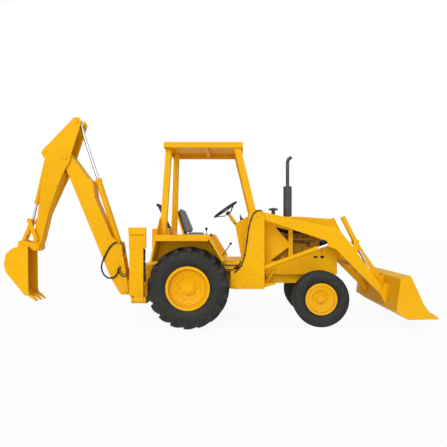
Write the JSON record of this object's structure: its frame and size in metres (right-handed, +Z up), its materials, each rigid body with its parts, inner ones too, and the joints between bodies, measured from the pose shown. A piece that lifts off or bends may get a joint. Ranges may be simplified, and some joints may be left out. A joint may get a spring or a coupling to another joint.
{
  "type": "backhoe loader",
  "caption": "Wheeled tractor with open canopy, front loader bucket on bent arms and rear digging hoe with fold-up stabilizers.",
  "frame": {"origin": "on the ground under the middle of the machine's box", "axes": "+X forward, +Y left, +Z up"},
  "size_m": [6.977, 2.08, 3.452],
  "materials": {
    "paint": "worn yellow machine enamel",
    "tyre": "dusty black rubber",
    "rod": "hard chrome",
    "seat": "dark grey vinyl",
    "stack": "heat-dulled dark grey",
    "dark": "satin black",
    "hose": "matte black rubber"
  },
  "bodies": {
    "chassis": {"main_frame": "paint", "front_axle": "paint", "rear_axle": "paint", "engine": "paint", "radiator": "dark", "hood": "paint", "side_panels": "paint", "grille": "paint", "loader_towers": "paint", "platform": "paint", "cowl": "paint", "fenders": "paint", "seat_base": "paint", "seat_cushion": "seat", "seat_back": "seat", "steering_wheel": "dark", "canopy_posts": "paint", "canopy_roof": "paint", "exhaust": "stack", "air_cleaner": "stack", "hoe_frame": "paint", "hoe_controls": "paint", "floor_lever": "dark", "side_hose": "hose"},
    "right_knuckle": {"knuckle_right": "paint"},
    "left_knuckle": {"knuckle_left": "paint"},
    "front_right_wheel": {"front_rim_right": "paint", "front_tyre_right": "tyre"},
    "front_left_wheel": {"front_rim_left": "paint", "front_tyre_left": "tyre"},
    "rear_right_wheel": {"rear_rim_right": "paint", "rear_tyre_right": "tyre"},
    "rear_left_wheel": {"rear_rim_left": "paint", "rear_tyre_left": "tyre"},
    "loader_arms": {"lift_arms": "paint"},
    "lift_cylinders": {"lift_barrels": "paint"},
    "lift_pistons": {"lift_rods": "rod"},
    "front_bucket": {"loader_bucket": "paint"},
    "levers": {"tilt_levers": "paint"},
    "links": {"tilt_links": "paint"},
    "tilt_cylinders": {"tilt_barrels": "paint"},
    "tilt_pistons": {"tilt_rods": "rod"},
    "mast": {"swing_mast": "paint"},
    "hoe_boom": {"boom": "paint", "boom_hose": "hose"},
    "crowd_cylinder": {"crowd_barrel": "paint"},
    "crowd_piston": {"crowd_rod": "rod"},
    "hoe_dipper": {"dipper": "paint"},
    "curl_cylinder": {"curl_barrel": "paint"},
    "curl_piston": {"curl_rod": "rod"},
    "guide_lever": {"curl_lever": "paint"},
    "push_link": {"curl_link": "paint"},
    "rear_bucket": {"hoe_bucket": "paint"},
    "right_stabilizer": {"stabilizer_right": "paint"},
    "left_stabilizer": {"stabilizer_left": "paint"}
  },
  "joints": [
    {"name": "right_steer", "type": "hinge", "parent": "chassis", "child": "right_knuckle", "pos_m": [1.7965, -0.43, 0.44], "axis": [0, 0, 1], "range_deg": [-32, 32]},
    {"name": "left_steer", "type": "hinge", "parent": "chassis", "child": "left_knuckle", "pos_m": [1.7965, 0.43, 0.44], "axis": [0, 0, 1], "range_deg": [-32, 32]},
    {"name": "front_right_spin", "type": "hinge", "parent": "right_knuckle", "child": "front_right_wheel", "pos_m": [1.7965, -0.6, 0.44], "axis": [0, 1, 0], "continuous": true},
    {"name": "rear_right_spin", "type": "hinge", "parent": "chassis", "child": "rear_right_wheel", "pos_m": [-0.2735, -0.735, 0.632], "axis": [0, 1, 0], "continuous": true},
    {"name": "front_left_spin", "type": "hinge", "parent": "left_knuckle", "child": "front_left_wheel", "pos_m": [1.7965, 0.6, 0.44], "axis": [0, 1, 0], "continuous": true},
    {"name": "rear_left_spin", "type": "hinge", "parent": "chassis", "child": "rear_left_wheel", "pos_m": [-0.2735, 0.735, 0.632], "axis": [0, 1, 0], "continuous": true},
    {"name": "lift", "type": "hinge", "parent": "chassis", "child": "loader_arms", "pos_m": [0.8205, 0, 1.776], "axis": [0, -1, 0], "range_deg": [-5, 70]},
    {"name": "lift_cylinder_tilt", "type": "hinge", "parent": "chassis", "child": "lift_cylinders", "pos_m": [0.7475, 0, 0.858], "axis": [0, -1, 0], "range_deg": [-6, 48]},
    {"name": "lift_stroke", "type": "slide", "parent": "lift_cylinders", "child": "lift_pistons", "axis": [0.9403, 0, 0.3403], "range_m": [-0.08, 0.82]},
    {"name": "dump", "type": "hinge", "parent": "loader_arms", "child": "front_bucket", "pos_m": [2.8075, 0, 0.528], "axis": [0, 1, 0], "range_deg": [-35, 115]},
    {"name": "lever_turn", "type": "hinge", "parent": "loader_arms", "child": "levers", "pos_m": [2.3925, 0, 1.132], "axis": [0, 1, 0], "range_deg": [-40, 120]},
    {"name": "link_turn", "type": "hinge", "parent": "levers", "child": "links", "pos_m": [2.4165, 0, 1.33], "axis": [0, 1, 0], "range_deg": [-120, 40]},
    {"name": "tilt_cylinder_turn", "type": "hinge", "parent": "levers", "child": "tilt_cylinders", "pos_m": [2.4165, 0, 1.33], "axis": [0, 1, 0], "range_deg": [-110, 40]},
    {"name": "tilt_stroke", "type": "slide", "parent": "tilt_cylinders", "child": "tilt_pistons", "axis": [0.4472, 0, -0.8944], "range_m": [-0.36, 0.12]},
    {"name": "swing", "type": "hinge", "parent": "chassis", "child": "mast", "pos_m": [-1.3035, 0, 0.64], "axis": [0, 0, 1], "range_deg": [-90, 90]},
    {"name": "boom_lower", "type": "hinge", "parent": "mast", "child": "hoe_boom", "pos_m": [-1.4735, 0, 0.5], "axis": [0, -1, 0], "range_deg": [-6, 105]},
    {"name": "dipper_out", "type": "hinge", "parent": "hoe_boom", "child": "hoe_dipper", "pos_m": [-2.4665, 0, 2.777], "axis": [0, 1, 0], "range_deg": [-8, 95]},
    {"name": "crowd_cylinder_turn", "type": "hinge", "parent": "hoe_boom", "child": "crowd_cylinder", "pos_m": [-1.5575, 0, 1.23], "axis": [0, 1, 0], "range_deg": [-4, 14]},
    {"name": "crowd_stroke", "type": "slide", "parent": "crowd_cylinder", "child": "crowd_piston", "axis": [-0.3096, 0, 0.9509], "range_m": [-1, 0.1]},
    {"name": "curl", "type": "hinge", "parent": "hoe_dipper", "child": "rear_bucket", "pos_m": [-2.9765, 0, 1.237], "axis": [0, -1, 0], "range_deg": [-15, 130]},
    {"name": "guide_lever_turn", "type": "hinge", "parent": "hoe_dipper", "child": "guide_lever", "pos_m": [-2.9665, 0, 1.379], "axis": [0, -1, 0], "range_deg": [-20, 120]},
    {"name": "push_link_turn", "type": "hinge", "parent": "guide_lever", "child": "push_link", "pos_m": [-3.0795, 0, 1.692], "axis": [0, -1, 0], "range_deg": [-40, 10]},
    {"name": "curl_cylinder_turn", "type": "hinge", "parent": "hoe_dipper", "child": "curl_cylinder", "pos_m": [-2.8135, 0, 2.85], "axis": [0, -1, 0], "range_deg": [-8, 4]},
    {"name": "curl_stroke", "type": "slide", "parent": "curl_cylinder", "child": "curl_piston", "axis": [-0.2239, 0, -0.9746], "range_m": [-0.08, 0.6]},
    {"name": "right_stabilizer_drop", "type": "hinge", "parent": "chassis", "child": "right_stabilizer", "pos_m": [-1.0335, -0.8, 0.445], "axis": [1, 0, 0], "range_deg": [0, 115]},
    {"name": "left_stabilizer_drop", "type": "hinge", "parent": "chassis", "child": "left_stabilizer", "pos_m": [-1.0335, 0.8, 0.445], "axis": [-1, 0, 0], "range_deg": [0, 115]}
  ],
  "couplings": [
    {"joint": "left_steer", "follows": "right_steer", "ratio": 1},
    {"joint": "lift_cylinder_tilt", "follows": "lift", "ratio": 0.635},
    {"joint": "lift_stroke", "follows": "lift", "m_per_rad": 0.64171},
    {"joint": "lever_turn", "follows": "dump", "ratio": 1},
    {"joint": "link_turn", "follows": "dump", "ratio": -1},
    {"joint": "tilt_cylinder_turn", "follows": "dump", "ratio": -0.85},
    {"joint": "tilt_stroke", "follows": "dump", "m_per_rad": -0.1673},
    {"joint": "crowd_cylinder_turn", "follows": "dipper_out", "ratio": 0.1},
    {"joint": "crowd_stroke", "follows": "dipper_out", "m_per_rad": -0.56723},
    {"joint": "guide_lever_turn", "follows": "curl", "ratio": 0.854},
    {"joint": "push_link_turn", "follows": "curl", "ratio": -0.196},
    {"joint": "curl_cylinder_turn", "follows": "curl", "ratio": -0.03},
    {"joint": "curl_stroke", "follows": "curl", "m_per_rad": 0.24122}
  ]
}
